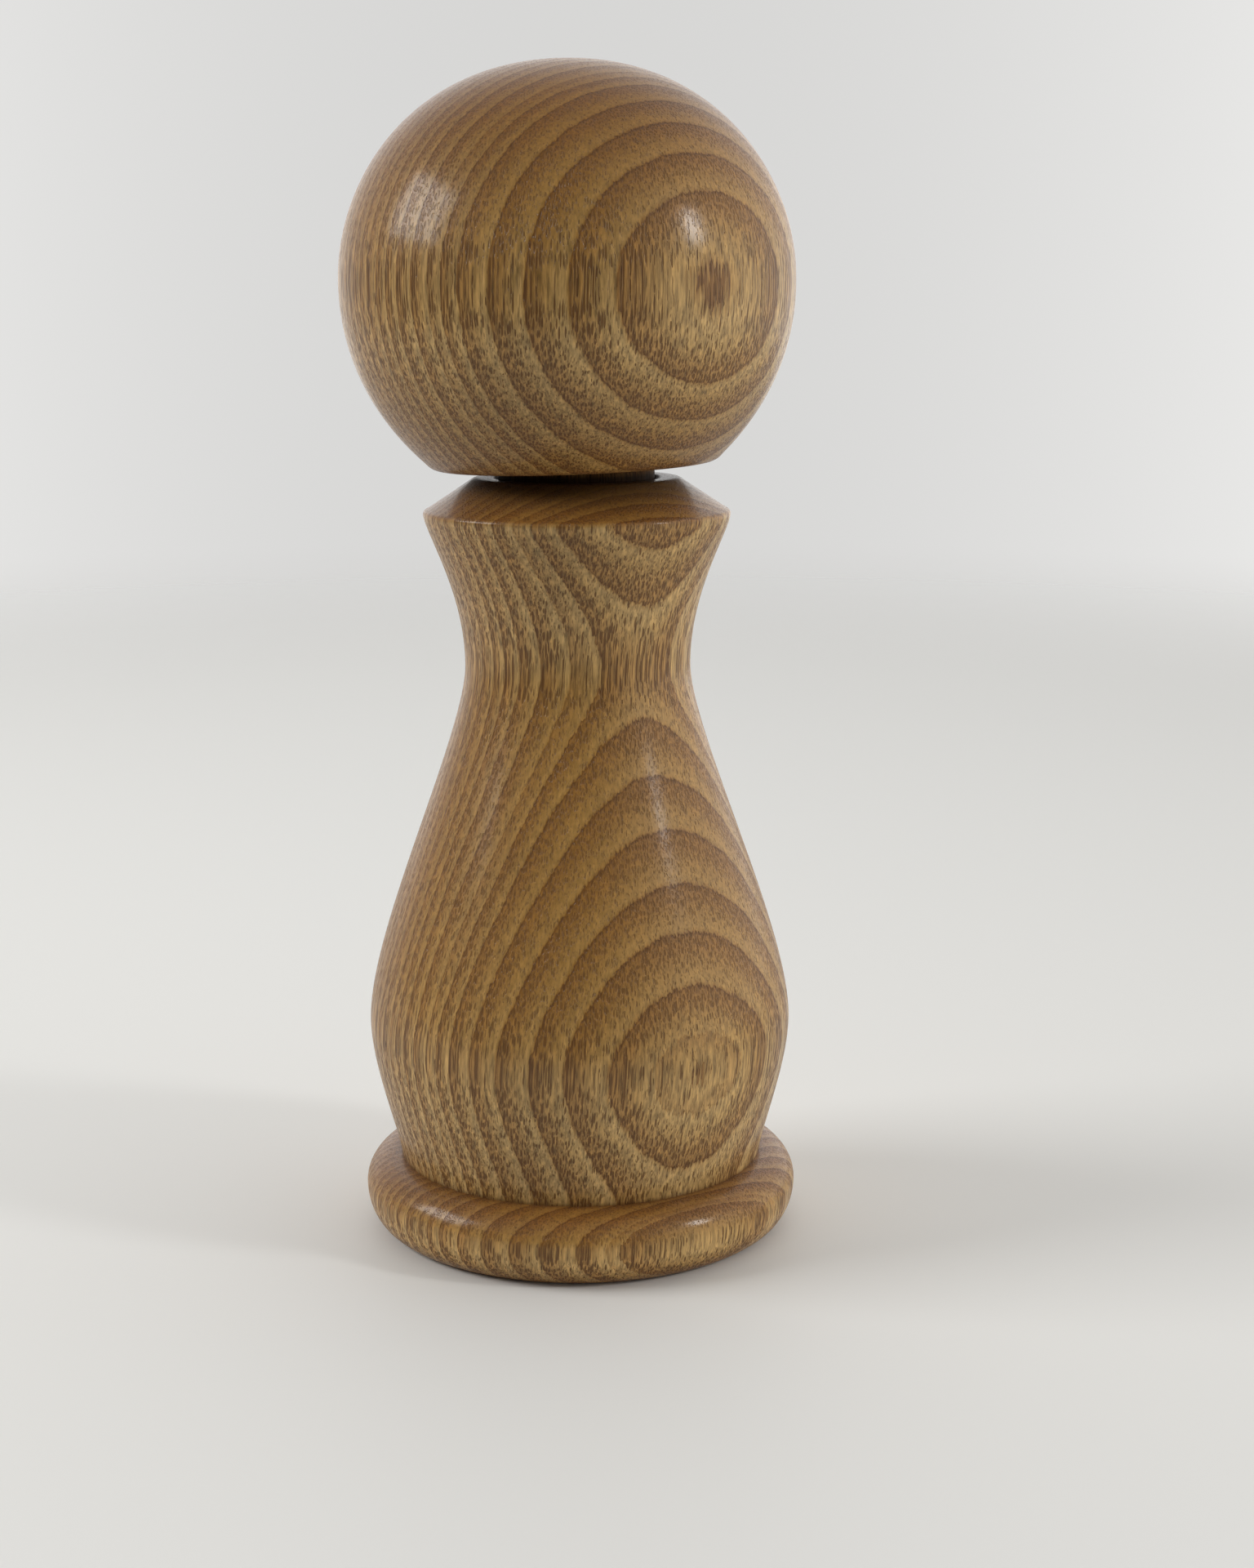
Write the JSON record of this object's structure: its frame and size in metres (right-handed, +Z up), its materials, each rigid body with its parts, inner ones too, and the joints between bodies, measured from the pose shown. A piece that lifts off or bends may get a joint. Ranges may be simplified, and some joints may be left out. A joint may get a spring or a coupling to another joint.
{
  "type": "kokeshi-shaped pepper mill",
  "caption": "Wooden pepper mill turned as a kokeshi figure: flared body with waist and foot, ball head that turns and lifts off, ceramic grinder set by a dial in the foot.",
  "frame": {"origin": "centre of the underside of the foot, on the drive axis", "axes": "+Z up along the drive axis through the head, front towards -Y, +X to the right seen from the front"},
  "size_m": [0.0709, 0.0698, 0.1825],
  "materials": {
    "turned_wood": "clear satin lacquer over open-grained, ring-porous hardwood",
    "housing_plastic": "fine-eroded black acetal",
    "bush_plastic": "natural acetal, turned",
    "carrier_plastic": "dark grey moulded acetal",
    "dial_plastic": "mid-grey moulded plastic, scalloped edge",
    "grinder_ceramic": "sintered ivory ceramic, matt, ground teeth",
    "shaft_aluminium": "drawn square bar, lengthwise die lines",
    "zinc_steel": "bright zinc-plated steel",
    "spring_steel": "drawn stainless spring wire",
    "screw_brass": "turned brass",
    "seal_rubber": "black nitrile rubber"
  },
  "bodies": {
    "mill_body": {"body": "turned_wood", "grinder_housing": "housing_plastic", "flange_screws": "zinc_steel", "stator": "grinder_ceramic", "retaining_ring": "housing_plastic"},
    "drive": {"drive_shaft": "shaft_aluminium", "bearing_bush": "bush_plastic", "thrust_washer": "zinc_steel", "shaft_clip": "zinc_steel", "rotor_spring": "spring_steel", "adjusting_screw": "screw_brass", "stop_clip": "zinc_steel"},
    "rotor": {"rotor": "grinder_ceramic", "rotor_carrier": "carrier_plastic", "rotor_retainer": "zinc_steel", "detent_washer": "zinc_steel"},
    "dial": {"adjuster_dial": "dial_plastic"},
    "head": {"head": "turned_wood", "head_socket": "housing_plastic", "grip_ring": "seal_rubber"}
  },
  "joints": [
    {"name": "grind_turn", "type": "hinge", "parent": "mill_body", "child": "drive", "pos_m": [0, 0, 0], "axis": [0, 0, 1], "continuous": true},
    {"name": "head_lift", "type": "slide", "parent": "drive", "child": "head", "axis": [0, 0, 1], "range_m": [0, 0.045]},
    {"name": "rotor_lift", "type": "slide", "parent": "drive", "child": "rotor", "axis": [0, 0, 1], "range_m": [0, 0.0007], "deforming": ["rotor_spring"]},
    {"name": "dial_turn", "type": "hinge", "parent": "rotor", "child": "dial", "pos_m": [0, 0, 0], "axis": [0, 0, 1], "range_deg": [0, 360]}
  ],
  "couplings": [
    {"joint": "dial_turn", "follows": "rotor_lift", "rad_per_m": 8975.9}
  ]
}
